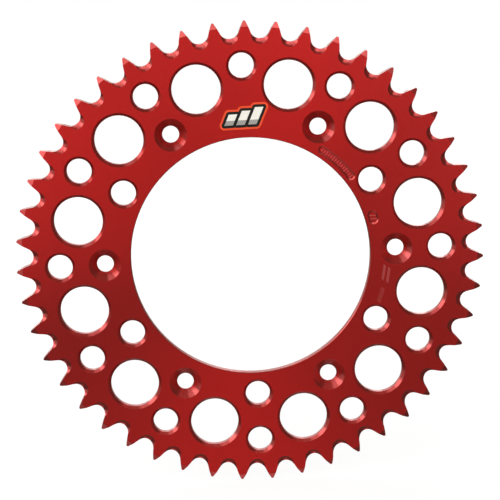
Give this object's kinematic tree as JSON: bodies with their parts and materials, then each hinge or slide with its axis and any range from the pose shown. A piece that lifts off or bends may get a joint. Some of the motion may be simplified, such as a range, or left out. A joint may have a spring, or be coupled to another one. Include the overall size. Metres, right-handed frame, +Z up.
{
  "type": "rear sprocket",
  "caption": "Flat red anodised chain sprocket with pointed teeth, a large central bore, countersunk bolt holes, round lightening holes and a small decal.",
  "frame": {"origin": "centre of the bore, at mid thickness of the plate", "axes": "Y along the spin axis, with the countersunk front face looking along -Y; +Z up through the decal; one bolt hole lies on +X"},
  "size_m": [0.2452, 0.006, 0.2453],
  "materials": {
    "anodised_plate": "satin red anodised",
    "decal_film": "orange vinyl film",
    "black_ink": "black print",
    "white_ink": "off-white print",
    "grey_ink": "grey print"
  },
  "bodies": {
    "root": {"sprocket_plate": "anodised_plate", "decal_film": "decal_film", "decal_black_ink": "black_ink", "decal_white_ink": "white_ink", "decal_grey_ink": "grey_ink"}
  },
  "joints": []
}
